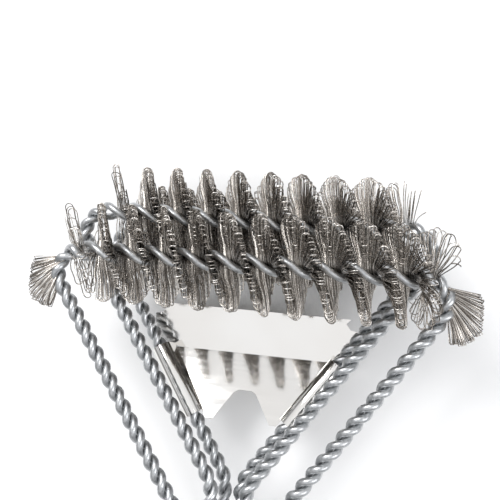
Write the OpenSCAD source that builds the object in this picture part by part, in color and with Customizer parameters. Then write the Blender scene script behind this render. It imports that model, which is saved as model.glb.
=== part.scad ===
// Bristle-free grill brush: three coil rows on twisted wire rods, a scraper and a handle.
// The handle runs along Y with the brush head at +Y, X runs across the rows, +Z is up.

/* [Rods] */
// Diameter of one galvanised wire
wire_d = 3.0; // [2.6:0.1:3.2]
// Length of one full twist of the wires inside a coil row
row_pitch = 26; // [24:1:30]
// Length of one full twist of the wires in a leg
leg_pitch = 12; // [11:0.5:15]
// Half width of the near row, to the corner of its bend
near_half = 85; // [82:1:88]
// Half width of the front row
front_half = 80; // [77:1:83]
// Half width of the low row
low_half = 73.5; // [71:0.5:76]
// Depth from the near row to the point where its legs meet
near_gather = 120; // [118:1:122]
// Depth from the front row to the point where its legs meet
front_gather = 106; // [103:1:110]
// Depth from the low row to the point where its legs meet
low_gather = 101; // [98:1:104]

/* [Coils] */
// Radius of the wire loops in a row
coil_r = 20.5; // [18:0.5:21]
// Half length of the looped stretch of the near row
near_coil_half = 65; // [58.5:6.5:65]
// Half length of the looped stretch of the front row
front_coil_half = 58.5; // [52:6.5:58.5]
// Half length of the looped stretch of the low row
low_coil_half = 52; // [45.5:6.5:52]

/* [Scraper] */
// Thickness of the sheet
sheet_t = 1.0; // [0.8:0.1:1.5]
// Width of the working edge
blade_w = 84; // [78:1:88]
// Height of the working blade above the bend line
blade_h = 19; // [16:1:22]
// Length of the sleeves rolled round the legs
sleeve_len = 32; // [28:1:34]

/* [Handle] */
// Length of the moulded handle behind the collar
handle_len = 222; // [200:2:240]
// Radius of the handle at its thickest
handle_r = 15; // [14:0.5:16]
// Reach of the hanging bail behind its pin
bail_reach = 34; // [30:1:40]

/* [Hidden] */
wire_r = wire_d / 2;
ribbon_t = 0.6;               // thickness of the loops where the wires clamp them
clamp_r = 3.4;                // how far out the wires clamp them
fin_half = 1.5;               // half thickness of a fin, and of its rim
rim_half = 1.2;
row_r = wire_r + 0.4;         // helix radius of a wire in a row
leg_r = wire_r + 0.05;        // helix radius of a wire in a leg
bend_r = 9;                   // centreline radius where a row turns into a leg
meet_r = 16;                  // centreline radius where a leg turns along the handle

// Places of the rows and of the rods at the handle mouth, before the lift to the floor
mouth_y = -121;
mouth_z = -13;
near_at = [0, 0];             // y and z of each row's axis
front_at = [18.5, -10.5];
low_at = [14, -30];
near_mouth = [3.3, 6.4];      // x, and z from the handle axis, of each rod at the mouth
front_mouth = [6.9, 0];
low_mouth = [3.3, -6.4];
tail_y = -137;                // where the rods end inside the seat

// Handle stations, as distances behind the mouth
seat_u0 = 2;
seat_u1 = 18;
collar_u1 = 30;
body_u0 = 19;
grip_u0 = 56;
grip_u1 = 206;
body_u1 = collar_u1 + handle_len;
tube_r = 9;
tube_wall = 1;
play = 0.05;                  // gap left between parts that fit together
collar_r = 12.4;
seat_r = 11;
grip_t = 2;
cap_len = 17;
cap_r = 13.5;
pin_u = body_u1 + 9;
pin_r = 2;
bail_x = 17.2;
bail_wire_r = 1.6;
end_y = mouth_y - pin_u - bail_reach;

// The box's centre and floor put the origin under the middle of the part
head_y = front_at[0] + coil_r;
lift = coil_r - low_at[1];
shift = -(head_y + end_y) / 2;

// Names of the colours
galvanised = "#9fa5aa";
stainless = "#d5d2cc";
loops = "#8d867e";

// ---------- rods ----------

// Angle of a rod's plane about X, and its in-plane distance from the row to a depth
function lean(at, mouth) = atan2(mouth_z + mouth[1] - at[1], at[0] - mouth_y);
function reach(at, mouth, y) = (at[0] - y) / cos(lean(at, mouth));

function unit(v) = v / norm(v);

// An arc of n steps that rounds the corner b of the path a, b, c
function fillet(a, b, c, r, n) =
  let (
    u = unit(a - b), w = unit(c - b), half = acos(u * w) / 2,
    o = b + unit(u + w) * r / sin(half), p = b + u * r / tan(half) - o, q = b + w * r / tan(half) - o,
    turn = 180 - 2 * half, s = (p[0] * q[1] - p[1] * q[0]) > 0 ? 1 : -1
  )
  [for (i = [0:n]) let (g = s * turn * i / n)
    o + [p[0] * cos(g) - p[1] * sin(g), p[0] * sin(g) + p[1] * cos(g)]];
function along(a, b, step) =
  let (n = max(1, ceil(norm(b - a) / step))) [for (i = [1:n]) a + (b - a) * i / n];
function join(lists) = [for (l = lists) for (p = l) p];

// Half of a rod's centreline in its plane: row, bend, leg, meeting bend, tail
function half_path(half, gather, mx, tail) =
  let (
    start = [0, 0], corner = [half, 0], meet = [mx, -gather], end = [mx, -tail],
    bend = fillet(start, corner, meet, bend_r, 5), turn = fillet(corner, meet, end, meet_r, 4)
  )
  join([[start], along(start, bend[0], row_pitch / 8), [for (i = [1:5]) bend[i]],
    along(bend[5], turn[0], leg_pitch / 6), [for (i = [1:4]) turn[i]], along(turn[4], end, leg_pitch / 6)]);

// The twist of the wires at each point, from the distance run in the row and in the leg
function runs(p, i = 1, acc = [0]) =
  i >= len(p) ? acc : runs(p, i + 1, concat(acc, [acc[i - 1] + norm(p[i] - p[i - 1])]));
function twist(s, row_s) =
  s < row_s ? 360 * s / row_pitch : 360 * row_s / row_pitch + 360 * (s - row_s) / leg_pitch;

// Length of the straight stretch of a row, from its middle to the start of its bend
function straight(half, gather, mx) =
  let (v = unit([mx - half, -gather])) half - bend_r / tan(acos(-v[0]) / 2);

// Whole path of one wire, mirrored through the middle of the row, as points in space
function wire_points(half, gather, mx, tail, phase) =
  let (
    h = half_path(half, gather, mx, tail), s = runs(h), n = len(h), row_s = straight(half, gather, mx),
    right = [for (i = [0:n - 1])
      let (
        d = unit(h[min(i + 1, n - 1)] - h[max(i - 1, 0)]), r = s[i] < row_s - 4 ? row_r : leg_r,
        g = twist(s[i], row_s) + phase
      )
      [[h[i][0] + r * cos(g) * d[1], h[i][1] - r * cos(g) * d[0], -r * sin(g)], g, d]],
    left = [for (i = [n - 1:-1:1])
      let (
        d = unit(h[min(i + 1, n - 1)] - h[max(i - 1, 0)]), r = s[i] < row_s - 4 ? row_r : leg_r,
        g = phase - twist(s[i], row_s)
      )
      [[-h[i][0] - r * cos(g) * d[1], h[i][1] - r * cos(g) * d[0], -r * sin(g)], g, [d[0], -d[1]]]]
  )
  concat(left, right);

// A tube of six sides swept along the wire, with a flat of each ring facing the twin wire
module swept_wire(pts) {
  n = len(pts);
  sides = 6;
  rings = [for (i = [0:n - 1])
    let (
      t = unit(pts[min(i + 1, n - 1)][0] - pts[max(i - 1, 0)][0]), g = pts[i][1], d = pts[i][2],
      out = [cos(g) * d[1], -cos(g) * d[0], -sin(g)], u = unit(out - t * (out * t)), v = cross(t, u)
    )
    for (k = [0:sides - 1]) let (a = 30 + 60 * k) pts[i][0] + wire_r * (u * cos(a) + v * sin(a))];
  walls = [for (i = [0:n - 2]) for (k = [0:sides - 1])
    let (a = i * sides + k, b = i * sides + (k + 1) % sides)
      each [[a, b, b + sides], [a, b + sides, a + sides]]];
  first = [for (k = [sides - 1:-1:0]) k];
  last = [for (k = [0:sides - 1]) (n - 1) * sides + k];
  polyhedron(rings, [for (f = concat(walls, [first, last])) [for (j = [len(f) - 1:-1:0]) f[j]]]);
}

// Puts a rod's plane in place: x stays, in-plane depth runs back from the row's axis
module in_rod_plane(at, mouth) {
  translate([0, at[0] + shift, at[1] + lift]) rotate([-lean(at, mouth), 0, 0]) children();
}

module rod_wire(at, mouth, half, gather, phase) {
  color(galvanised) in_rod_plane(at, mouth)
    swept_wire(wire_points(half, gather, mouth[0], reach(at, mouth, tail_y), phase));
}
module near_wire(phase) { rod_wire(near_at, near_mouth, near_half, near_gather, phase); }
module front_wire(phase) { rod_wire(front_at, front_mouth, front_half, front_gather, phase); }
module low_wire(phase) { rod_wire(low_at, low_mouth, low_half, low_gather, phase); }

// ---------- coils of wire loops ----------

// A ribbon of loops wound as a double fin about the row: thin at the wires, fuller outside
module coil(at, coil_half) {
  steps = ceil(coil_half * 2 / row_pitch * 12);
  outs = [-coil_r, -0.6 * coil_r, -clamp_r, clamp_r, 0.6 * coil_r, coil_r];
  full = [rim_half, fin_half, ribbon_t / 2, ribbon_t / 2, fin_half, rim_half];
  m = len(outs);
  k = 360 / row_pitch;
  side = function (i, j, e)
    let (
      x = -coil_half + 2 * coil_half * i / steps, g = k * x + 90, s = outs[j], w = s * k * PI / 180,
      nrm = [-w, -sin(g), cos(g)] / sqrt(1 + w * w)
    )
    [x, s * cos(g), s * sin(g)] + nrm * e * full[j];
  pts = [for (i = [0:steps]) for (e = [1, -1]) for (j = [0:m - 1]) side(i, j, e)];
  row = 2 * m;
  top = [for (i = [0:steps - 1]) for (j = [0:m - 2])
    let (a = i * row + j) each [[a, a + 1, a + row + 1], [a, a + row + 1, a + row]]];
  under = [for (i = [0:steps - 1]) for (j = [0:m - 2])
    let (a = i * row + m + j) each [[a, a + row + 1, a + 1], [a, a + row, a + row + 1]]];
  rims = [for (i = [0:steps - 1]) for (j = [0, m - 1])
    let (a = i * row + j, b = a + m, c = a + row, d = b + row)
      each (j == 0 ? [[a, c, d], [a, d, b]] : [[a, d, c], [a, b, d]])];
  ends = [for (i = [0, steps]) for (j = [0:m - 2])
    let (a = i * row + j, b = a + m)
      each (i == 0 ? [[a, b + 1, a + 1], [a, b, b + 1]] : [[a, a + 1, b + 1], [a, b + 1, b]])];
  color(loops) translate([0, at[0] + shift, at[1] + lift]) polyhedron(pts, concat(top, under, rims, ends));
}

// The loops that fan out where the near row bends down into its legs
leaf_len = 12.5;
leaf_w = 7.5;
leaf_t = 3;
module end_leaf() {
  color(loops) in_rod_plane(near_at, near_mouth) translate([near_half - 5.5, -14, -leaf_t / 2]) rotate(-42)
    linear_extrude(leaf_t) polygon([for (a = [0:20:340]) [leaf_len * cos(a), leaf_w * sin(a)]]);
}

module near_coil() {
  coil(near_at, near_coil_half);
  for (m = [0, 1]) mirror([m, 0, 0]) end_leaf();
}

// ---------- scraper ----------

line_t = 50;                  // in-plane depth of the bend line below the low row
web_t1 = 78;                  // depth of the lower end of the sleeves
web_dip = 18;                 // angle by which the web sinks from the legs towards the blade
blade_rise = 6;               // angle by which the blade comes back up beyond the bend line
sleeve_r = leg_r + wire_r + 0.15;
sleeve_wall = 0.9;
leg_slope = atan2(low_half - low_mouth[0], low_gather);
web_len = (web_t1 - line_t) / cos(web_dip);
line_z = -web_len * sin(web_dip);
function leg_x(t) = low_half - t * tan(leg_slope);

// The frame of a sleeve: its own Y runs up the leg, and X points away from the middle
module at_sleeve() {
  mid = (line_t + web_t1) / 2;
  translate([leg_x(mid), -mid, 0]) rotate([0, 0, -leg_slope]) children();
}
module sleeve_rod(r, extra) {
  at_sleeve() rotate([90, 0, 0]) cylinder(r = r, h = sleeve_len + extra, center = true, $fn = 40);
}

// The side wall that joins a sleeve to the sunken web
module side_wall() {
  h = sleeve_len / 2;
  at_sleeve() translate([-sleeve_r - sleeve_wall, 0, 0]) rotate([90, 0, 90]) linear_extrude(sheet_t)
    polygon([[-h, 0.5], [h, 0.5], [h, line_z], [h - 2, line_z - 0.5], [-h, -0.5]]);
}

// Outline of the web, measured up from the lower end of the sleeves, with the notch in its edge
module web_outline() {
  top_x = leg_x(line_t) - sleeve_r - 1;
  low_x = leg_x(web_t1) - sleeve_r - 1;
  right = [[top_x, web_len], [low_x, 0], [12, 0], [4.8, 12], [2.6, 13.3]];
  polygon(concat(right, [for (i = [len(right) - 1:-1:0]) [-right[i][0], right[i][1]]]));
}

// Outline of the blade above the bend line, with a small hook cut in each upper corner
module blade_outline() {
  h = blade_w / 2;
  right = [
    [31, 0], [36, 0.8], [h - 1.5, 2.8], [h + 1.5, 6.5], [h + 3, 11], [h + 3, blade_h - 5],
    [h, blade_h - 4.5], [h - 2, blade_h - 2], [h, blade_h]
  ];
  polygon(concat(right, [for (i = [len(right) - 1:-1:0]) [-right[i][0], right[i][1]]]));
}

module scraper() {
  color(stainless) in_rod_plane(low_at, low_mouth) difference() {
    union() {
      translate([0, -web_t1, 0]) rotate([-web_dip, 0, 0]) translate([0, 0, -sheet_t])
        linear_extrude(sheet_t) web_outline();
      translate([0, -line_t, line_z]) rotate([blade_rise, 0, 0]) translate([0, 0, -sheet_t])
        linear_extrude(sheet_t) blade_outline();
      for (m = [0, 1]) mirror([m, 0, 0]) {
        sleeve_rod(sleeve_r + sleeve_wall, 0);
        side_wall();
      }
    }
    for (m = [0, 1]) mirror([m, 0, 0]) sleeve_rod(sleeve_r, 2);
  }
}

// ---------- handle ----------

// Stands a profile of [radius, distance behind the mouth] up along the handle's axis
module behind_mouth(u = 0) {
  translate([0, mouth_y - u + shift, mouth_z + lift]) rotate([90, 0, 0]) children();
}

module rod_bore(at, mouth, x) {
  in_rod_plane(at, mouth) translate([x, -reach(at, mouth, tail_y) - 3, 0]) rotate([-90, 0, 0])
    cylinder(r = leg_r + wire_r + 0.1, h = 40, $fn = 32);
}

module rod_seat() {
  color("#3a3a3c") difference() {
    behind_mouth(seat_u0) cylinder(r = seat_r - play, h = seat_u1 - seat_u0, $fn = 64);
    for (s = [-1, 1]) {
      rod_bore(near_at, near_mouth, s * near_mouth[0]);
      rod_bore(front_at, front_mouth, s * front_mouth[0]);
      rod_bore(low_at, low_mouth, s * low_mouth[0]);
    }
  }
}

rivet_u = 24;                 // distance of the rivets behind the mouth
rivet_r = 1.6;
flare = 5;                    // length of the collar's flared mouth
module collar() {
  color(stainless) difference() {
    behind_mouth() rotate_extrude($fn = 96)
      polygon([
        [seat_r, 0], [seat_r + 2.2, -flare], [collar_r + 2, -flare], [collar_r, 1], [collar_r, collar_u1],
        [seat_r, collar_u1]
      ]);
    behind_mouth(rivet_u) rotate([90, 0, 0]) cylinder(r = rivet_r, h = 40, center = true, $fn = 32);
  }
}

module collar_rivets() {
  color(stainless) for (s = [0, 180])
    behind_mouth(rivet_u) rotate([0, 0, s]) rotate([-90, 0, 0]) rotate_extrude($fn = 32)
      polygon([
        [0, tube_r + 0.4], [rivet_r, tube_r + 0.4], [rivet_r, collar_r], [2.8, collar_r],
        [2.2, collar_r + 0.9], [1.1, collar_r + 1.4], [0, collar_r + 1.5]
      ]);
}

module handle_tube() {
  color(stainless) behind_mouth(body_u0) difference() {
    cylinder(r = tube_r, h = body_u1 - body_u0, $fn = 64);
    translate([0, 0, -1]) cylinder(r = tube_r - tube_wall, h = body_u1 - body_u0 + 2, $fn = 64);
  }
}

module handle_body() {
  neck = seat_r - play;
  color("#1e1e20") difference() {
    behind_mouth() rotate_extrude($fn = 96)
      polygon([
        [tube_r + play, body_u0], [neck, body_u0], [neck, collar_u1 + 0.1], [collar_r + 0.6, collar_u1 + 0.1],
        [collar_r + 1.2, collar_u1 + 3], [collar_r + 1, grip_u0 - 8], [collar_r + 1.4, grip_u0],
        [handle_r - grip_t, grip_u0], [handle_r - grip_t, grip_u1], [handle_r - 0.6, grip_u1],
        [collar_r + 0.9, body_u1 - 18], [cap_r, body_u1], [tube_r + play, body_u1]
      ]);
    behind_mouth(rivet_u) rotate([90, 0, 0]) cylinder(r = rivet_r, h = 40, center = true, $fn = 32);
  }
}

module grip_sleeve() {
  mid = (grip_u0 + grip_u1) / 2;
  color("#2a2a2c") behind_mouth() rotate_extrude($fn = 96)
    polygon([
      [handle_r - grip_t, grip_u0], [handle_r - 1.2, grip_u0], [handle_r - 0.4, grip_u0 + 14],
      [handle_r - 0.8, mid - 25],
 [handle_r, grip_u1 - 12], [handle_r - 0.6, grip_u1], [handle_r - grip_t, grip_u1]
    ]);
}

module end_cap() {
  plug_len = 12;
  bore_r = tube_r - tube_wall - play;
  color("#1e1e20") difference() {
    behind_mouth() rotate_extrude($fn = 96)
      polygon([
        [0, body_u1 - plug_len], [bore_r, body_u1 - plug_len], [bore_r, body_u1 + play],
        [cap_r, body_u1 + play],
        [cap_r + 0.3, body_u1 + 5], [cap_r - 0.5, body_u1 + 12], [cap_r - 3, body_u1 + cap_len - 1],
        [cap_r - 5, body_u1 + cap_len], [0, body_u1 + cap_len]
      ]);
    behind_mouth(pin_u) rotate([0, 90, 0]) cylinder(r = pin_r, h = 40, center = true, $fn = 40);
  }
}

module bail_pin() {
  color(stainless) behind_mouth(pin_u) rotate([0, 90, 0]) union() {
    cylinder(r = pin_r, h = 2 * (bail_x + 2), center = true, $fn = 40);
    for (m = [0, 1]) mirror([0, 0, m]) translate([0, 0, bail_x + 2])
      cylinder(r1 = 3.4, r2 = 2.6, h = 1.2, $fn = 40);
  }
}

module pin_washers() {
  color(stainless) behind_mouth(pin_u) rotate([0, 90, 0]) for (m = [0, 1]) mirror([0, 0, m])
    translate([0, 0, cap_r + 0.4]) difference() {
      cylinder(r = 4, h = 1, $fn = 40);
      translate([0, 0, -1]) cylinder(r = pin_r + 0.02, h = 3, $fn = 40);
    }
}

module hang_bail() {
  eye_r = 4;
  arm_from = 2.5;
  arc_at = bail_reach - bail_x - bail_wire_r;
  color(stainless) behind_mouth(pin_u) difference() {
    union() {
      for (m = [0, 1]) mirror([m, 0, 0]) {
        translate([bail_x, 0, 0]) rotate([0, 90, 0]) cylinder(r = eye_r, h = 3, center = true, $fn = 48);
        translate([bail_x, 0, arm_from]) cylinder(r = bail_wire_r, h = arc_at - arm_from, $fn = 32);
      }
      translate([0, 0, arc_at]) rotate([-90, 0, 0]) rotate_extrude(angle = -180, $fn = 64)
        translate([bail_x, 0]) circle(r = bail_wire_r, $fn = 32);
    }
    rotate([0, 90, 0]) cylinder(r = pin_r + 0.05, h = 60, center = true, $fn = 40);
  }
}

near_wire(0);  // near_wire_a
near_wire(180);  // near_wire_b
front_wire(0);  // front_wire_a
front_wire(180);  // front_wire_b
low_wire(0);  // low_wire_a
low_wire(180);  // low_wire_b
near_coil();
coil(front_at, front_coil_half);  // front_coil
coil(low_at, low_coil_half);  // low_coil
scraper();
rod_seat();
collar();
collar_rivets();
handle_tube();
handle_body();
grip_sleeve();
end_cap();
bail_pin();
pin_washers();
hang_bail();
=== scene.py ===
"""Grill cleaning brush: the looks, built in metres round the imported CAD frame."""

import math

import bmesh
import bpy
import numpy as np
from mathutils import Matrix, Vector


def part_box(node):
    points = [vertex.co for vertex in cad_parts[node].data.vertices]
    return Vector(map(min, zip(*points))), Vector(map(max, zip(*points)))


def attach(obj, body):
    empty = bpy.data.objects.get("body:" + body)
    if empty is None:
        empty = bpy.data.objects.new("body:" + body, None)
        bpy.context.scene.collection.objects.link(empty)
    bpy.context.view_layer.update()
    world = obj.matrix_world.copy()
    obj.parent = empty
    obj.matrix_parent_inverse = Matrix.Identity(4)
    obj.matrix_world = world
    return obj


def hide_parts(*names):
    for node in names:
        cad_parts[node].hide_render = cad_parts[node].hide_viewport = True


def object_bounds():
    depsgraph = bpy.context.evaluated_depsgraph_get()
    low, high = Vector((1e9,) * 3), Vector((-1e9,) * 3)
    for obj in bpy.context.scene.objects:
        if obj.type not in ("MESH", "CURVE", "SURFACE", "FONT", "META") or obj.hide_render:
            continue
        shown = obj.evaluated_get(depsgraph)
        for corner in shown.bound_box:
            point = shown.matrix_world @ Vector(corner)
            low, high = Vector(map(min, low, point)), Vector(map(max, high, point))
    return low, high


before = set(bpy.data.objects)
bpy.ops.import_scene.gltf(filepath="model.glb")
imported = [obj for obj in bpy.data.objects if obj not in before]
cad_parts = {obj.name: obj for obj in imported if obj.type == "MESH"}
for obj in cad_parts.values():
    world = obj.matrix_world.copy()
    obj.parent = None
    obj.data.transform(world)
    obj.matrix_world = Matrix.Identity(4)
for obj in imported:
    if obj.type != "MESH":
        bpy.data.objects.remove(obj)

CAD_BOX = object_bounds()
MM = 0.001
BODY = "brush"
RNG = np.random.default_rng(7)

# ---------------------------------------------------------------- sizes

# The CAD has these sizes too
WIRE_R = 1.5 * MM           # radius of a galvanised wire
ROW_PITCH = 26 * MM         # one twist of the wires in a row
LEG_PITCH = 12 * MM         # one twist of the wires in a leg
BEND_R = 9 * MM             # where a row turns into a leg
MEET_R = 16 * MM            # where a leg turns along the handle
SEAT_BACK = 2 * MM          # from the handle's mouth back to the rod seat
TAIL_BACK = 16 * MM         # from the handle's mouth back to the ends of the rods
GRIP_WALL = 2 * MM

# These belong to the looks alone
ROW_HELIX = WIRE_R + 1.3 * MM     # the loops hold the wires of a row apart
LEG_HELIX = WIRE_R + 0.05 * MM    # in a leg they touch
CLOSE_FROM = 2 * MM         # from here past its loops the wires of a row draw together
CLOSE_OVER = 8 * MM         # the distance that they take to touch
WIRE_STEP = 0.75 * MM       # spacing of the points along a galvanised wire
WIRE_SIDES = 14
FINE_STEP = 0.25 * MM       # spacing at which a rod's centreline is looked up for its loops
ARC_STEPS = 24
LOOP_R = 0.2 * MM           # radius of the fine wire of the loops
LOOP_SIDES = 5

COIL_R = (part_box("front_coil")[1].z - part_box("front_coil")[0].z) / 2


def coil_axis(node):
    """Y and Z of a row's axis: its coil reaches COIL_R past the axis towards +Y and +Z."""
    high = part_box(node)[1]
    return high.y - COIL_R, high.z - COIL_R


HANDLE_Z = sum(c.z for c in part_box("handle_body")) / 2
MOUTH_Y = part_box("rod_seat")[1].y + SEAT_BACK
TAIL_Y = MOUTH_Y - TAIL_BACK


def ease(x):
    """A smooth step from 0 to 1."""
    x = np.clip(x, 0, 1)
    return x * x * (3 - 2 * x)


class Rod:
    """One twisted rod: a row, two legs and two tails, all in one plane through the row's axis.

    Its lengths are the CAD's, in millimetres: half the row, the depth where its legs meet, how far to the
    side and how high over the handle's axis they are there, and half the looped stretch of the row.
    """

    def __init__(self, name, half, gather, mouth_x, mouth_up, coil_half):
        self.name = name
        self.half = half * MM
        self.gather = gather * MM
        self.mouth_x = mouth_x * MM
        self.coil_half = coil_half * MM
        self.y, self.z = coil_axis(name + "_coil")
        lean = math.atan2(HANDLE_Z + mouth_up * MM - self.z, self.y - MOUTH_Y)
        self.down = np.array([0.0, -math.cos(lean), math.sin(lean)])
        self.out = np.array([0.0, math.sin(lean), math.cos(lean)])
        self.tail = (self.y - TAIL_Y) / math.cos(lean)
        leg = np.array([self.mouth_x - self.half, -self.gather])
        leg /= np.linalg.norm(leg)
        self.row_end = self.half - BEND_R / math.tan(math.acos(-leg[0]) / 2)

    def place(self, x, depth, up=0.0):
        """A point of the rod's plane in space; arrays are allowed."""
        x, depth, up = np.broadcast_arrays(x, depth, up)
        base = np.array([0.0, self.y, self.z])
        side = np.array([1.0, 0.0, 0.0])
        return base + x[..., None] * side + depth[..., None] * self.down + up[..., None] * self.out


NEAR = Rod("near", 85, 120, 3.3, 6.4, 65)
FRONT = Rod("front", 80, 106, 6.9, 0, 58.5)
LOW = Rod("low", 73.5, 101, 3.3, -6.4, 52)
RODS = (NEAR, FRONT, LOW)
HEAD = Vector((0, NEAR.y, NEAR.z))     # the middle of the near row

# ---------------------------------------------------------------- mesh helpers


def new_mesh(name, verts, faces, smooth=True):
    """A mesh object in the scene."""
    mesh = bpy.data.meshes.new(name)
    mesh.from_pydata([tuple(v) for v in verts], [], faces)
    mesh.validate()
    if smooth:
        mesh.polygons.foreach_set("use_smooth", [True] * len(mesh.polygons))
    mesh.update()
    obj = bpy.data.objects.new(name, mesh)
    bpy.context.scene.collection.objects.link(obj)
    return obj


def finish_piece(obj, material, body=BODY, replaces=()):
    """Gives a piece its material and body, and hides the CAD nodes that it replaces."""
    obj.data.materials.clear()
    obj.data.materials.append(material)
    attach(obj, body)
    if replaces:
        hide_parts(*replaces)


def tube(points, radius, sides):
    """Vertices and faces of a round tube along points, with frames carried along without twist."""
    p = np.asarray(points, float)
    n = len(p)
    t = np.gradient(p, axis=0)
    t /= np.linalg.norm(t, axis=1)[:, None]
    u = np.empty_like(p)
    first = np.cross(t[0], [0.0, 0.0, 1.0])
    if np.linalg.norm(first) < 1e-6:
        first = np.cross(t[0], [0.0, 1.0, 0.0])
    u[0] = first / np.linalg.norm(first)
    for i in range(1, n):
        w = u[i - 1] - t[i] * (u[i - 1] @ t[i])
        u[i] = w / np.linalg.norm(w)
    v = np.cross(t, u)
    a = np.arange(sides) * 2 * math.pi / sides
    ring = u[:, None] * np.cos(a)[None, :, None] + v[:, None] * np.sin(a)[None, :, None]
    verts = (p[:, None] + ring * radius).reshape(-1, 3)
    k = np.arange(sides)
    base = (np.arange(n - 1) * sides)[:, None]
    a0, b0 = base + k, base + (k + 1) % sides
    faces = np.stack([a0, b0, b0 + sides, a0 + sides], -1).reshape(-1, 4).tolist()
    faces.append(list(range(sides - 1, -1, -1)))
    faces.append(list(range((n - 1) * sides, n * sides)))
    return verts, faces


# ---------------------------------------------------------------- materials


def set_stops(ramp, stops):
    """Gives a colour ramp its stops, each a place and a colour or one level of grey."""
    while len(ramp.elements) < len(stops):
        ramp.elements.new(0.5)
    for element, (place, tone) in zip(ramp.elements, stops):
        element.position = place
        element.color = (*tone, 1) if isinstance(tone, tuple) else (tone, tone, tone, 1)


class Nodes:
    """A material's node tree round one Principled shader."""

    def __init__(self, name):
        self.material = bpy.data.materials.new(name)
        self.material.use_nodes = True
        self.tree = self.material.node_tree
        self.shader = self.tree.nodes["Principled BSDF"]

    def add(self, kind, **values):
        """A new node with each value set on its socket of that name, or else on the node."""
        node = self.tree.nodes.new(kind)
        for key, value in values.items():
            if key in node.inputs:
                node.inputs[key].default_value = value
            else:
                setattr(node, key, value)
        return node

    def link(self, a, b):
        self.tree.links.new(a, b)

    def noise(self, scale, detail, stretch=(1, 1, 1), rough=0.5):
        """Noise in the object's own coordinates, with scale in waves to the metre."""
        where = self.add("ShaderNodeTexCoord")
        mapping = self.add("ShaderNodeMapping", Scale=stretch)
        self.link(where.outputs["Object"], mapping.inputs["Vector"])
        node = self.add("ShaderNodeTexNoise", Scale=scale, Detail=detail, Roughness=rough)
        self.link(mapping.outputs["Vector"], node.inputs["Vector"])
        return node.outputs["Fac"]

    def ramp(self, fac, stops):
        node = self.add("ShaderNodeValToRGB")
        set_stops(node.color_ramp, stops)
        self.link(fac, node.inputs["Fac"])
        return node.outputs["Color"]

    def bump(self, height, strength, distance):
        node = self.add("ShaderNodeBump", Strength=strength, Distance=distance)
        self.link(height, node.inputs["Height"])
        self.link(node.outputs["Normal"], self.shader.inputs["Normal"])

    def colour(self, socket):
        self.link(socket, self.shader.inputs["Base Color"])

    def roughness(self, socket):
        self.link(socket, self.shader.inputs["Roughness"])

    def set(self, **values):
        """Sets sockets of the shader, each named with _ for a space."""
        for key, value in values.items():
            self.shader.inputs[key.replace("_", " ")].default_value = value


def galvanised_steel():
    m = Nodes("galvanised_steel")
    m.set(Metallic=1.0)
    tones = [(0.3, (0.36, 0.375, 0.385)), (0.55, (0.53, 0.54, 0.55)), (0.8, (0.67, 0.675, 0.68))]
    m.colour(m.ramp(m.noise(900, 5, rough=0.6), tones))
    m.roughness(m.ramp(m.noise(1500, 4), [(0.3, 0.30), (0.75, 0.46)]))
    m.bump(m.noise(2600, 3), 0.25, 0.05 * MM)
    return m.material


def loop_steel():
    m = Nodes("loop_steel")
    m.set(Metallic=1.0)
    # each loop of wire has a shade of its own, as each catches the light in its own way
    shade = m.add("ShaderNodeAttribute", attribute_name="shade")
    tone = m.add("ShaderNodeMix", data_type="FLOAT")
    tone.inputs["Factor"].default_value = 0.4
    m.link(shade.outputs["Fac"], tone.inputs["A"])
    m.link(m.noise(220, 3), tone.inputs["B"])
    tones = [(0.22, (0.15, 0.135, 0.12)), (0.5, (0.42, 0.385, 0.35)), (0.78, (0.90, 0.86, 0.81))]
    m.colour(m.ramp(tone.outputs["Result"], tones))
    m.roughness(m.ramp(m.noise(1200, 2), [(0.3, 0.18), (0.8, 0.32)]))
    return m.material


def polished_steel():
    m = Nodes("polished_steel")
    m.set(Metallic=1.0)
    m.colour(m.ramp(m.noise(30, 2), [(0.3, (0.80, 0.78, 0.75)), (0.8, (0.86, 0.85, 0.83))]))
    m.roughness(m.ramp(m.noise(60, 5, (1, 14, 1)), [(0.35, 0.06), (0.8, 0.15)]))
    m.bump(m.noise(300, 4, (1, 25, 1)), 0.05, 0.03 * MM)
    return m.material


def satin_steel():
    m = Nodes("satin_steel")
    m.set(Metallic=1.0)
    m.colour(m.ramp(m.noise(120, 3), [(0.3, (0.58, 0.57, 0.56)), (0.8, (0.70, 0.69, 0.68))]))
    m.roughness(m.ramp(m.noise(240, 5, (30, 1, 1)), [(0.3, 0.22), (0.8, 0.40)]))
    m.bump(m.noise(700, 3, (25, 1, 1)), 0.12, 0.04 * MM)
    return m.material


def handle_plastic():
    m = Nodes("handle_plastic")
    m.colour(m.ramp(m.noise(40, 4), [(0.3, (0.018, 0.018, 0.019)), (0.8, (0.034, 0.034, 0.036))]))
    m.roughness(m.ramp(m.noise(500, 4), [(0.3, 0.36), (0.8, 0.55)]))
    m.bump(m.noise(2200, 2), 0.35, 0.08 * MM)
    return m.material


def grip_rubber():
    m = Nodes("grip_rubber")
    m.colour(m.ramp(m.noise(60, 4), [(0.3, (0.025, 0.025, 0.026)), (0.8, (0.05, 0.05, 0.052))]))
    m.roughness(m.ramp(m.noise(300, 4), [(0.3, 0.62), (0.8, 0.82)]))
    m.bump(m.noise(3000, 2), 0.4, 0.08 * MM)
    return m.material


def seat_resin():
    m = Nodes("seat_resin")
    m.colour(m.ramp(m.noise(200, 3), [(0.3, (0.03, 0.03, 0.032)), (0.8, (0.07, 0.07, 0.07))]))
    m.roughness(m.ramp(m.noise(400, 3), [(0.3, 0.5), (0.8, 0.75)]))
    return m.material


def stage_white():
    m = Nodes("stage_white")
    m.colour(m.ramp(m.noise(3, 2), [(0.3, 0.86), (0.8, 0.88)]))
    m.set(Roughness=0.75)
    return m.material


GALVANISED = galvanised_steel()
LOOPS = loop_steel()
POLISHED = polished_steel()
SATIN = satin_steel()
PLASTIC = handle_plastic()
RUBBER = grip_rubber()
RESIN = seat_resin()

# ---------------------------------------------------------------- rods


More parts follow.
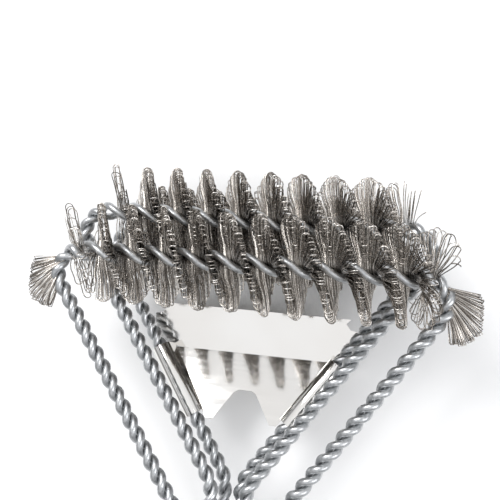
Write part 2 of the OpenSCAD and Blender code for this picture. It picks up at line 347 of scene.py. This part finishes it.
def arc_corner(a, b, c, radius, n):
    """The arc of n steps that rounds the corner b of the path a, b, c."""
    a, b, c = (np.array(v, float) for v in (a, b, c))
    u = (a - b) / np.linalg.norm(a - b)
    w = (c - b) / np.linalg.norm(c - b)
    half = math.acos(u @ w) / 2
    centre = b + (u + w) / np.linalg.norm(u + w) * radius / math.sin(half)
    p = b + u * radius / math.tan(half) - centre
    q = b + w * radius / math.tan(half) - centre
    turn = math.pi - 2 * half
    sign = 1 if p[0] * q[1] - p[1] * q[0] > 0 else -1
    across = np.array([-p[1], p[0]])
    angles = [sign * turn * i / n for i in range(n + 1)]
    return [centre + p * math.cos(g) + across * math.sin(g) for g in angles]


def half_path(rod, step):
    """The right half of a rod's centreline in its plane, as (x, depth), at an even spacing."""
    corner, meet, end = (rod.half, 0.0), (rod.mouth_x, rod.gather), (rod.mouth_x, rod.tail)
    raw = [np.array([0.0, 0.0])]
    raw += arc_corner((0, 0), corner, meet, BEND_R, ARC_STEPS)
    raw += arc_corner(corner, meet, end, MEET_R, ARC_STEPS)
    raw.append(np.array(end))
    raw = np.array(raw)
    run = np.concatenate([[0], np.cumsum(np.linalg.norm(np.diff(raw, axis=0), axis=1))])
    s = np.arange(0, run[-1], step)
    return s, np.stack([np.interp(s, run, raw[:, 0]), np.interp(s, run, raw[:, 1])], 1)


def rod_frame(rod, step):
    """Distance, centre and tangent along the right half, in its plane."""
    s, c = half_path(rod, step)
    t = np.gradient(c, axis=0)
    return s, c, t / np.linalg.norm(t, axis=1)[:, None]


def twist_at(rod, s):
    """Angle that the wires have turned through at a distance s from the middle of the row."""
    inside = np.minimum(s, rod.row_end)
    beyond = np.maximum(s - rod.row_end, 0)
    return 2 * math.pi * (inside / ROW_PITCH + beyond / LEG_PITCH)


def wire_line(rod, phase):
    """Centreline of one of a rod's two wires, from the left tail to the right tail."""
    s, c, t = rod_frame(rod, WIRE_STEP)
    r = ROW_HELIX + (LEG_HELIX - ROW_HELIX) * ease((s - rod.coil_half - CLOSE_FROM) / CLOSE_OVER)
    halves = []
    for hand in (-1, 1):
        g = phase + hand * twist_at(rod, s)
        x, depth = c[:, 0] - r * np.cos(g) * t[:, 1], c[:, 1] + r * np.cos(g) * t[:, 0]
        halves.append(rod.place(hand * x, depth, -r * np.sin(g)))
    left, right = halves
    return np.concatenate([left[:0:-1], right])


def build_wires():
    """The two galvanised wires of each rod."""
    for rod in RODS:
        for k, phase in (("a", 0.0), ("b", math.pi)):
            verts, faces = tube(wire_line(rod, phase), WIRE_R, WIRE_SIDES)
            obj = new_mesh(f"{rod.name}_twisted_wire_{k}", verts, faces)
            finish_piece(obj, GALVANISED, replaces=(f"{rod.name}_wire_{k}",))


# ---------------------------------------------------------------- wire loops


LOOP_PITCH = 0.3 * MM       # distance along the rod from one loop to the next
CLAMP_R = 3 * MM            # the rod's wires hold the loops flat out to here
SWELL_R = 11 * MM           # from here on a loop has its full thickness
CORE_HALF = 1.0 * MM        # half thickness of a loop between the wires
FIN_HALF = 1.35 * MM        # half thickness of a loop near its tips
FIN_LEAN = (0.14, 0.2)      # how far the fins lean along the rod, per distance towards the handle and up
SIDE_LIMIT = CAD_BOX[1].x - 0.6 * MM
SIDE_POINTS, TIP_POINTS = 15, 7     # points along one side of a loop, and round its tip
TIP_REACH, TIP_LIMIT = 0.955, 0.99  # usual and greatest reach of a loop, as shares of COIL_R
WAVE_LOOPS = 9              # loops between two values of a slow wave that neighbours share

# How uneven the loops are, each by its slow wave and by a jolt of its own
TIP_SPREAD = (0.012, 0.016)
HALF_SPREAD = (0.15 * MM, 0.2 * MM)
SWAY_SPREAD = (0.3 * MM, 0.3 * MM)
SPIN_SPREAD = (0.03, 0.026)

# Columns of the rows that loop_line makes
ALONG, WIDE, THICK, SPIN, SHADE = range(5)


def loop_line(start, end, reach, pitch, mess):
    """Flat turns of one fine wire from start to end along a rod, as rows of along, wide, thick, spin, shade.

    reach and mess scale how far the loops reach and how uneven they are.
    """
    turns = int((end - start) / pitch)
    side = np.linspace(-1, 1, SIDE_POINTS)
    bow = np.linspace(-math.pi / 2, math.pi / 2, TIP_POINTS)[1:-1]
    waves = RNG.normal(0, 1, (turns // WAVE_LOOPS + 3, 4))
    rows = []
    for i in range(turns):
        near = i // WAVE_LOOPS
        part = i / WAVE_LOOPS - near
        wave = (waves[near] * (1 - part) + waves[near + 1] * part) * mess
        jolt = RNG.normal(0, 1, 5) * mess
        tips = TIP_REACH + TIP_SPREAD[0] * wave[0] + TIP_SPREAD[1] * jolt[:2]
        tips = np.minimum(tips, TIP_LIMIT) * COIL_R * reach
        half = FIN_HALF + HALF_SPREAD[0] * wave[1] + HALF_SPREAD[1] * jolt[2]
        sway = SWAY_SPREAD[0] * wave[2] + SWAY_SPREAD[1] * jolt[3]
        spin = SPIN_SPREAD[0] * wave[3] + SPIN_SPREAD[1] * jolt[4]
        shade = RNG.uniform()
        for face in (1, -1):
            q = side * face
            arm = np.where(q > 0, tips[0], tips[1]) - half
            wide = q * arm
            swell = ease((np.abs(wide) - CLAMP_R) / (SWELL_R - CLAMP_R))
            thick = face * (CORE_HALF + (half - CORE_HALF) * swell)
            wide = np.concatenate([wide, q[-1] * (arm[-1] + half * np.cos(bow))])
            thick = np.concatenate([thick, -face * half * np.sin(bow)])
            thick = thick + sway * np.sign(wide) * (wide / COIL_R) ** 2
            n = len(wide)
            share = (i + (0 if face == 1 else 0.5) + 0.5 * np.arange(n) / n) * pitch
            rows.append(np.stack([start + share, wide, thick, np.full(n, spin), np.full(n, shade)], 1))
    return np.concatenate(rows)


def loops_in_space(rod, rows):
    """Carries rows of a loop_line into space, twisted with the rod and leaning along it."""
    s_all, c, t = rod_frame(rod, FINE_STEP)
    hand = np.where(rows[:, ALONG] < 0, -1.0, 1.0)
    s = np.abs(rows[:, ALONG])
    cx, cd = (np.interp(s, s_all, c[:, k]) for k in (0, 1))
    tx, td = (np.interp(s, s_all, t[:, k]) for k in (0, 1))
    origin = rod.place(0.0, 0.0)
    centre = rod.place(hand * cx, cd)
    along = rod.place(tx, hand * td) - origin
    across = rod.place(-hand * td, tx) - origin
    g = (hand * twist_at(rod, s) + math.pi / 2 + rows[:, SPIN])[:, None]
    u = across * np.cos(g) - rod.out * np.sin(g)
    v = -across * np.sin(g) - rod.out * np.cos(g)
    wide, thick = rows[:, WIDE, None], rows[:, THICK, None]
    # a loop is cut short where it would stick out past the side of the head
    room = (SIDE_LIMIT - np.abs(centre[:, :1])) / np.maximum(np.abs(u[:, :1]), 1e-6)
    outward = wide * u[:, :1] * np.sign(centre[:, :1]) > 0
    wide = np.where(outward & (np.abs(wide) > room), np.sign(wide) * room, wide)
    slope = wide * 2 * math.pi / ROW_PITCH
    normal = (v - along * slope) / np.sqrt(1 + slope * slope)
    point = centre + u * wide + normal * thick
    arm = (point - centre) * ease((np.abs(wide) - CLAMP_R) / SWELL_R)
    point[:, 0] += arm[:, 2] * FIN_LEAN[1] - arm[:, 1] * FIN_LEAN[0]
    point[:, 0] = np.clip(point[:, 0], -SIDE_LIMIT, SIDE_LIMIT)
    return point


def loop_tube(rod, rows):
    """A tube of fine wire along rows, with one shade for each point of its mesh."""
    verts, faces = tube(loops_in_space(rod, rows), LOOP_R, LOOP_SIDES)
    return verts, faces, np.repeat(rows[:, SHADE], LOOP_SIDES)


def loop_mesh(name, parts):
    """One mesh of many tubes of fine wire, with the shades as an attribute of its points."""
    verts, faces, base = [], [], 0
    for part in parts:
        verts.append(part[0])
        faces += [[k + base for k in face] for face in part[1]]
        base += len(part[0])
    obj = new_mesh(name, np.concatenate(verts), faces)
    shades = obj.data.attributes.new("shade", "FLOAT", "POINT")
    shades.data.foreach_set("value", np.concatenate([part[2] for part in parts]))
    return obj


LOOSE_ENDS = 10
LOOSE_POINTS = 6            # points along a loose end
LOOSE_FROM = 0.8 * MM       # the first one stands this far past the loops
LOOSE_GAP = 0.45 * MM       # from one to the next
LOOSE_DRIFT = 0.8 * MM      # the most that one drifts outward over its length
LOOSE_REACH = (0.7, 0.97)   # shortest and longest, as shares of COIL_R
LOOSE_FAN = 0.05            # angle from one to the next, and the spread of that angle


def loose_ends(rod):
    """Cut ends of loops that stick out past the right end of a row."""
    parts = []
    for k in range(LOOSE_ENDS):
        rows = np.zeros((LOOSE_POINTS, 5))
        drift = np.linspace(0, LOOSE_DRIFT, LOOSE_POINTS) * RNG.uniform(0, 1)
        rows[:, ALONG] = rod.coil_half + LOOSE_FROM + LOOSE_GAP * k + drift
        rows[:, WIDE] = np.linspace(CLAMP_R, COIL_R * RNG.uniform(*LOOSE_REACH), LOOSE_POINTS)
        rows[:, SPIN] = -LOOSE_FAN * k + RNG.normal(0, LOOSE_FAN)
        rows[:, SHADE] = RNG.uniform()
        parts.append(loop_tube(rod, rows))
    return parts


LEAF_LOOPS = 44             # loops in the leaf at each bend of the near row
LEAF_REACH = 17 * MM        # the longest of them
LEAF_ROOT, LEAF_RUN = 7 * MM, 9 * MM    # where past the row's end the leaf starts, and how long its root is
LEAF_FROM, LEAF_TO = math.radians(10), math.radians(80)    # from straight sideways towards the handle
LEAF_HALF, LEAF_BULGE = 0.5 * MM, 1.2 * MM    # half thickness at both ends, and what the middle adds to it
LEAF_JITTER = 0.03          # spread of their directions, and of their reaches as a share
LEAF_SPLAY = 0.5 * MM       # how far each side of a loop strays from its middle at the tip
LEAF_START = -0.15          # a loop starts this share of its reach behind its root
LEAF_POINTS = 9             # points along one side of a loop


def end_leaf(rod, hand):
    """The loops that fan out flat where the near row bends down into a leg."""
    s_all, c = half_path(rod, FINE_STEP)
    parts = []
    for i in range(LEAF_LOOPS):
        share = i / (LEAF_LOOPS - 1)
        s = rod.row_end + LEAF_ROOT + LEAF_RUN * share
        root = np.array([np.interp(s, s_all, c[:, 0]), np.interp(s, s_all, c[:, 1])])
        turn = LEAF_FROM + (LEAF_TO - LEAF_FROM) * share + RNG.normal(0, LEAF_JITTER)
        aim = np.array([math.cos(turn), math.sin(turn)])
        # the leaf is longest near its middle
        reach = LEAF_REACH * (0.62 + 0.38 * math.sin(math.pi * (0.15 + 0.75 * share)))
        reach *= 1 + RNG.normal(0, LEAF_JITTER)
        reach = min(reach, (SIDE_LIMIT - 0.4 * MM - root[0]) / aim[0])
        # out along one side of the leaf and back along the other
        go = np.linspace(LEAF_START, 1, LEAF_POINTS)
        out = np.concatenate([go, go[::-1]])
        side = np.repeat([1, -1], len(go))
        up = side * (LEAF_HALF + LEAF_BULGE * np.sin(np.clip(out, 0, 1) * math.pi)) + RNG.normal(0, 0.25 * MM)
        splay = -side * out * LEAF_SPLAY
        x = root[0] + aim[0] * out * reach - aim[1] * splay
        depth = root[1] + aim[1] * out * reach + aim[0] * splay
        line = rod.place(hand * np.minimum(x, SIDE_LIMIT), depth, up)
        verts, faces = tube(line, LOOP_R, LOOP_SIDES)
        parts.append((verts, faces, np.full(len(verts), RNG.uniform())))
    return parts


NEAR_TURN = 7 * MM          # the near row's twisted loops go on towards its bends for this far
TURN_REACH = 0.95           # their reach, as a share of the row's
SPARSE_RUN = 5 * MM         # the loops are sparse for this far at a row's left end
SPARSE_PITCH = 2.6 * LOOP_PITCH
SPARSE_MESS, TURN_MESS = 1.8, 1.4     # how uneven those loops are, to 1 for the rest


def build_coils():
    """The loops of each row, with the near row's leaves and the loose ends of the other two."""
    for rod in RODS:
        end = rod.coil_half
        sparse_to = -end + SPARSE_RUN
        # each stretch as its start and end, and the reach, pitch and mess of its loops
        stretches = [(-end, sparse_to, 1.0, SPARSE_PITCH, SPARSE_MESS),
                     (sparse_to, end, 1.0, LOOP_PITCH, 1.0)]
        parts = []
        if rod is NEAR:
            stretches += [(-end - NEAR_TURN, -end, TURN_REACH, SPARSE_PITCH, SPARSE_MESS),
                          (end, end + NEAR_TURN, TURN_REACH, LOOP_PITCH, TURN_MESS)]
            parts += end_leaf(rod, 1) + end_leaf(rod, -1)
        else:
            parts += loose_ends(rod)
        for stretch in stretches:
            parts.append(loop_tube(rod, loop_line(*stretch)))
        obj = loop_mesh(f"{rod.name}_wire_loops", parts)
        finish_piece(obj, LOOPS, replaces=(f"{rod.name}_coil",))


# ---------------------------------------------------------------- pieces made from the CAD's solids


FLAT_AREA = 40 * MM * MM    # a larger face than this is a flat one
FLAT_BEND = math.radians(0.3)     # a face that meets its neighbours at more than this
ROUND_BEND = math.radians(14)     # and less than this belongs to a round stretch
MERGE_BEND = math.radians(1)      # faces that meet at less than this become one
SHARP_BEND = math.radians(32)     # an edge sharper than this is rounded over
CREASE_BEND = math.radians(50)    # an edge still sharper than this afterwards is shaded as a crease
WELD = 0.002 * MM


def softened(node, material, width, body=BODY, steps=2):
    """Replaces a CAD solid by a copy with its sharp edges rounded over by width."""
    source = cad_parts[node]
    mesh = bmesh.new()
    mesh.from_mesh(source.data)
    bmesh.ops.transform(mesh, matrix=source.matrix_world, verts=mesh.verts)
    bmesh.ops.remove_doubles(mesh, verts=mesh.verts, dist=WELD)
    bmesh.ops.dissolve_limit(mesh, angle_limit=MERGE_BEND, verts=mesh.verts, edges=mesh.edges)
    sharp = [edge for edge in mesh.edges if edge.is_manifold and edge.calc_face_angle(0) > SHARP_BEND]
    made = bmesh.ops.bevel(mesh, geom=sharp, offset=width, segments=steps, profile=0.5, affect="EDGES",
                           clamp_overlap=True)
    for face in mesh.faces:
        bends = [edge.calc_face_angle(0) for edge in face.edges if edge.is_manifold]
        face.smooth = face.calc_area() < FLAT_AREA and any(FLAT_BEND < bend < ROUND_BEND for bend in bends)
    for face in made["faces"]:
        face.smooth = True
    for edge in mesh.edges:
        edge.smooth = not edge.is_manifold or edge.calc_face_angle(0) < CREASE_BEND
    data = bpy.data.meshes.new(node + "_finished")
    mesh.to_mesh(data)
    mesh.free()
    obj = bpy.data.objects.new(node + "_finished", data)
    bpy.context.scene.collection.objects.link(obj)
    finish_piece(obj, material, body, (node,))


def lathe(name, profile, sides):
    """A closed solid turned about the handle's axis from a profile of (radius, distance behind the mouth)."""
    turn = np.arange(sides) * 2 * math.pi / sides
    verts = []
    for radius, back in profile:
        ring = [radius * np.cos(turn), np.full(sides, MOUTH_Y - back), HANDLE_Z + radius * np.sin(turn)]
        verts.append(np.stack(ring, 1))
    count = len(profile)
    k = np.arange(sides)
    faces = []
    for i in range(count):
        a, b = i * sides + k, i * sides + (k + 1) % sides
        c, d = (i + 1) % count * sides + (k + 1) % sides, (i + 1) % count * sides + k
        faces += np.stack([a, b, c, d], 1).tolist()
    return new_mesh(name, np.concatenate(verts), faces)


GRIP_FROM, GRIP_TO = (MOUTH_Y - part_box("grip_sleeve")[k].y for k in (1, 0))
GRIP_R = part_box("grip_sleeve")[1].x
GRIP_INNER = GRIP_R - GRIP_WALL
GRIP_STEPS, GRIP_SIDES = 420, 72
RING_PITCH = 6 * MM         # one ring of the grip to the next
RING_DEPTH = 0.9 * MM
RING_SHARE = 0.22           # half the width of a groove, as a share of RING_PITCH
PLAIN_END = 9 * MM          # smooth stretch at each end of the grip
END_ROUND, END_RUN = 0.9 * MM, 3 * MM     # how deep the grip's ends round off, and over what length


def grip_radius(back):
    """Outer radius of the grip at a distance behind the mouth, swelling towards the palm."""
    share = (back - GRIP_FROM) / (GRIP_TO - GRIP_FROM)
    waist = (0.9 + 0.5 * math.cos(share * 3 * math.pi)) * (1 - share) * MM
    end = min(back - GRIP_FROM, GRIP_TO - back)
    return GRIP_R - waist - END_ROUND * (1 - min(end / END_RUN, 1)) ** 2


def build_grip():
    """The soft grip, with rings between two smooth ends."""
    outer = []
    for i in range(GRIP_STEPS + 1):
        back = GRIP_FROM + (GRIP_TO - GRIP_FROM) * i / GRIP_STEPS
        end = min(back - GRIP_FROM, GRIP_TO - back) - PLAIN_END
        groove = 0.0
        if end > 0:
            phase = (end % RING_PITCH) / RING_PITCH
            groove = RING_DEPTH * float(ease(1 - abs(phase - 0.5) / RING_SHARE))
        outer.append((grip_radius(back) - groove, back))
    profile = outer + [(GRIP_INNER, GRIP_TO), (GRIP_INNER, GRIP_FROM)]
    obj = lathe("grip_sleeve_ringed", profile, GRIP_SIDES)
    finish_piece(obj, RUBBER, replaces=("grip_sleeve",))


def build_handle():
    """Everything behind the rods: the grip, and the CAD's other solids with softened edges."""
    build_grip()
    softened("handle_body", PLASTIC, 0.5 * MM)
    softened("end_cap", PLASTIC, 0.8 * MM, steps=3)
    softened("collar", SATIN, 0.3 * MM)
    softened("collar_rivets", SATIN, 0.2 * MM)
    softened("handle_tube", SATIN, 0.15 * MM)
    softened("bail_pin", SATIN, 0.3 * MM)
    softened("pin_washers", SATIN, 0.12 * MM)
    softened("hang_bail", SATIN, 0.4 * MM, body="bail", steps=3)
    softened("rod_seat", RESIN, 0.3 * MM)


# ---------------------------------------------------------------- stage, light, camera


FLOOR_HALF = 3              # half the floor's side
FLOOR_GAP = 0.2 * MM        # between the floor and the brush
SKY_TINT = (0.98, 0.985, 1.0)


def area_light(name, place, target, size, power, colour=(1, 1, 1)):
    """A rectangular light that faces target."""
    data = bpy.data.lights.new(name, "AREA")
    data.shape = "RECTANGLE"
    data.size, data.size_y = size
    data.energy = power
    data.color = colour
    obj = bpy.data.objects.new(name, data)
    obj.location = place
    aim = Vector(target) - Vector(place)
    obj.rotation_euler = aim.to_track_quat("-Z", "Y").to_euler()
    bpy.context.scene.collection.objects.link(obj)


def build_stage():
    """A plain pale floor."""
    corners = [(x * FLOOR_HALF, y * FLOOR_HALF, 0) for x, y in ((-1, -1), (1, -1), (1, 1), (-1, 1))]
    floor = new_mesh("floor", corners, [(0, 1, 2, 3)], smooth=False)
    floor.location.z = -FLOOR_GAP
    floor.data.materials.append(stage_white())


def build_lights():
    """A large key light, a weaker fill and a pale sky."""
    area_light("key", HEAD + Vector((-0.5, 0.45, 0.8)), HEAD, (0.5, 0.5), 7)
    area_light("fill", HEAD + Vector((0.7, -0.2, 0.6)), HEAD, (0.4, 0.6), 3, (0.97, 0.98, 1.0))
    world = bpy.data.worlds.new("studio")
    bpy.context.scene.world = world
    world.use_nodes = True
    tree = world.node_tree
    where = tree.nodes.new("ShaderNodeTexCoord")
    split = tree.nodes.new("ShaderNodeSeparateXYZ")
    ramp = tree.nodes.new("ShaderNodeValToRGB")
    # a pale tent: dimmer above the horizon, bright overhead
    levels = [(0.0, 0.62), (0.12, 0.42), (0.34, 0.26), (0.55, 0.85), (0.95, 1.05)]
    set_stops(ramp.color_ramp, [(place, tuple(level * tint for tint in SKY_TINT)) for place, level in levels])
    tree.links.new(where.outputs["Generated"], split.inputs["Vector"])
    tree.links.new(split.outputs["Z"], ramp.inputs["Fac"])
    tree.links.new(ramp.outputs["Color"], tree.nodes["Background"].inputs["Color"])
    tree.nodes["Background"].inputs["Strength"].default_value = 1.0
    bpy.context.scene.view_settings.view_transform = "Standard"


LENS, SENSOR = 45.2, 36     # focal length and width of the sensor in mm
CAMERA_AT = Vector((47.2, -19.0, 238.2)) * MM     # from HEAD, as is the point that it looks at
CAMERA_AIM = Vector((1.8, 5.4, 0.0)) * MM
CAMERA_ROLL = math.radians(5.46)


def build_camera():
    """The camera over the head, looking down at it and rolled about its own axis."""
    data = bpy.data.cameras.new("camera")
    data.sensor_width = SENSOR
    data.lens = LENS
    camera = bpy.data.objects.new("camera", data)
    bpy.context.scene.collection.objects.link(camera)
    look = (CAMERA_AIM - CAMERA_AT).normalized()
    level = look.cross(Vector((0, 1, 0))).normalized()
    upright = level.cross(look)
    right = level * math.cos(CAMERA_ROLL) + upright * math.sin(CAMERA_ROLL)
    up = right.cross(look)
    turn = Matrix((right, up, -look)).transposed()
    camera.matrix_world = Matrix.Translation(HEAD + CAMERA_AT) @ turn.to_4x4()
    bpy.context.scene.camera = camera


build_camera()
build_stage()
build_lights()
build_wires()
build_coils()
softened("scraper", POLISHED, 0.18 * MM)
build_handle()
